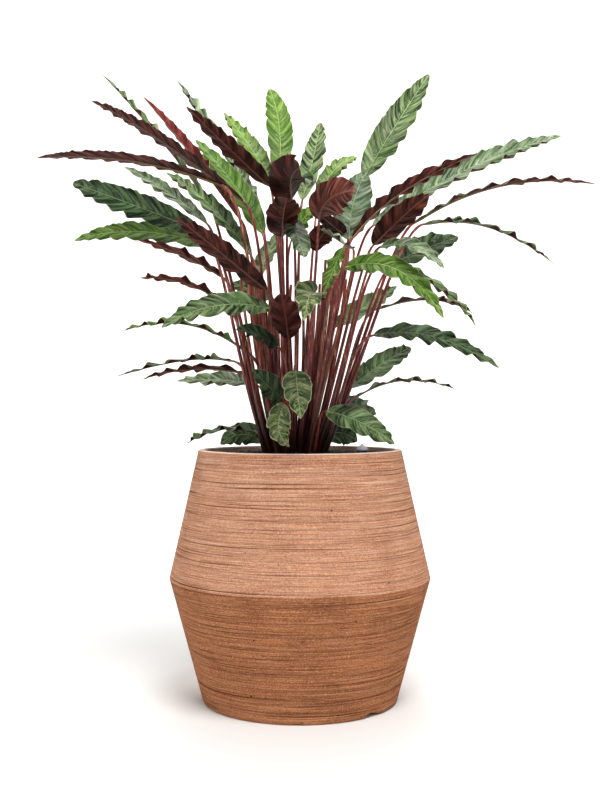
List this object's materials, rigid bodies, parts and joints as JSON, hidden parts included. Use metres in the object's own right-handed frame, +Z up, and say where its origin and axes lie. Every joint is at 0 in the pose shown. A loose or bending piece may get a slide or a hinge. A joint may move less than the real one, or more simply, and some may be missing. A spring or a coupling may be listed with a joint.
{
  "type": "potted wavestar calathea",
  "caption": "Potted prayer plant: long wave-edged green and maroon leaves on thin reddish stalks, rising from dark granules in a double-cone clay pot with a water gauge.",
  "frame": {"origin": "middle of the pot's flat underside", "axes": "+Z up through the pot, +X to the right and -Y to the front as the picture sees it"},
  "size_m": [0.8435, 0.4908, 1.0064],
  "materials": {
    "pot": "matte",
    "soil": "matte",
    "gauge_tube": "gloss",
    "gauge_cap": "gloss",
    "gauge_float": "satin",
    "leaf_maroon": "satin",
    "leaf_brown": "satin",
    "leaf_red": "satin",
    "leaf_deep_green": "satin",
    "leaf_green": "satin",
    "leaf_silver_green": "satin",
    "leaf_bright_green": "satin"
  },
  "bodies": {
    "root": {"pot": "pot", "soil": "soil", "gauge_tube": "gauge_tube", "gauge_cap": "gauge_cap", "gauge_float": "gauge_float", "leaf_01": "leaf_maroon", "leaf_02": "leaf_maroon", "shoot_01": "leaf_green", "leaf_03": "leaf_red", "shoot_02": "leaf_silver_green", "leaf_04": "leaf_maroon", "leaf_05": "leaf_bright_green", "leaf_06": "leaf_bright_green", "leaf_07": "leaf_bright_green", "leaf_08": "leaf_green", "leaf_09": "leaf_green", "leaf_10": "leaf_bright_green", "shoot_03": "leaf_silver_green", "shoot_04": "leaf_maroon", "leaf_11": "leaf_bright_green", "leaf_12": "leaf_maroon", "leaf_13": "leaf_brown", "leaf_14": "leaf_maroon", "leaf_15": "leaf_maroon", "leaf_16": "leaf_silver_green", "shoot_05": "leaf_maroon", "leaf_17": "leaf_maroon", "leaf_18": "leaf_deep_green", "leaf_19": "leaf_silver_green", "leaf_20": "leaf_deep_green", "shoot_06": "leaf_bright_green", "leaf_21": "leaf_green", "leaf_22": "leaf_green", "leaf_23": "leaf_green", "leaf_24": "leaf_deep_green", "leaf_25": "leaf_green", "leaf_26": "leaf_green", "leaf_27": "leaf_green", "leaf_28": "leaf_deep_green", "leaf_29": "leaf_green", "leaf_30": "leaf_silver_green", "leaf_31": "leaf_green", "leaf_32": "leaf_maroon", "leaf_33": "leaf_green", "leaf_34": "leaf_bright_green", "leaf_35": "leaf_green", "leaf_36": "leaf_maroon", "leaf_37": "leaf_silver_green", "leaf_38": "leaf_green", "leaf_39": "leaf_deep_green", "leaf_40": "leaf_deep_green", "leaf_41": "leaf_deep_green", "leaf_42": "leaf_maroon", "leaf_43": "leaf_deep_green", "leaf_44": "leaf_bright_green", "leaf_45": "leaf_green", "leaf_46": "leaf_maroon", "leaf_47": "leaf_maroon", "leaf_48": "leaf_green", "leaf_49": "leaf_silver_green"}
  },
  "joints": []
}
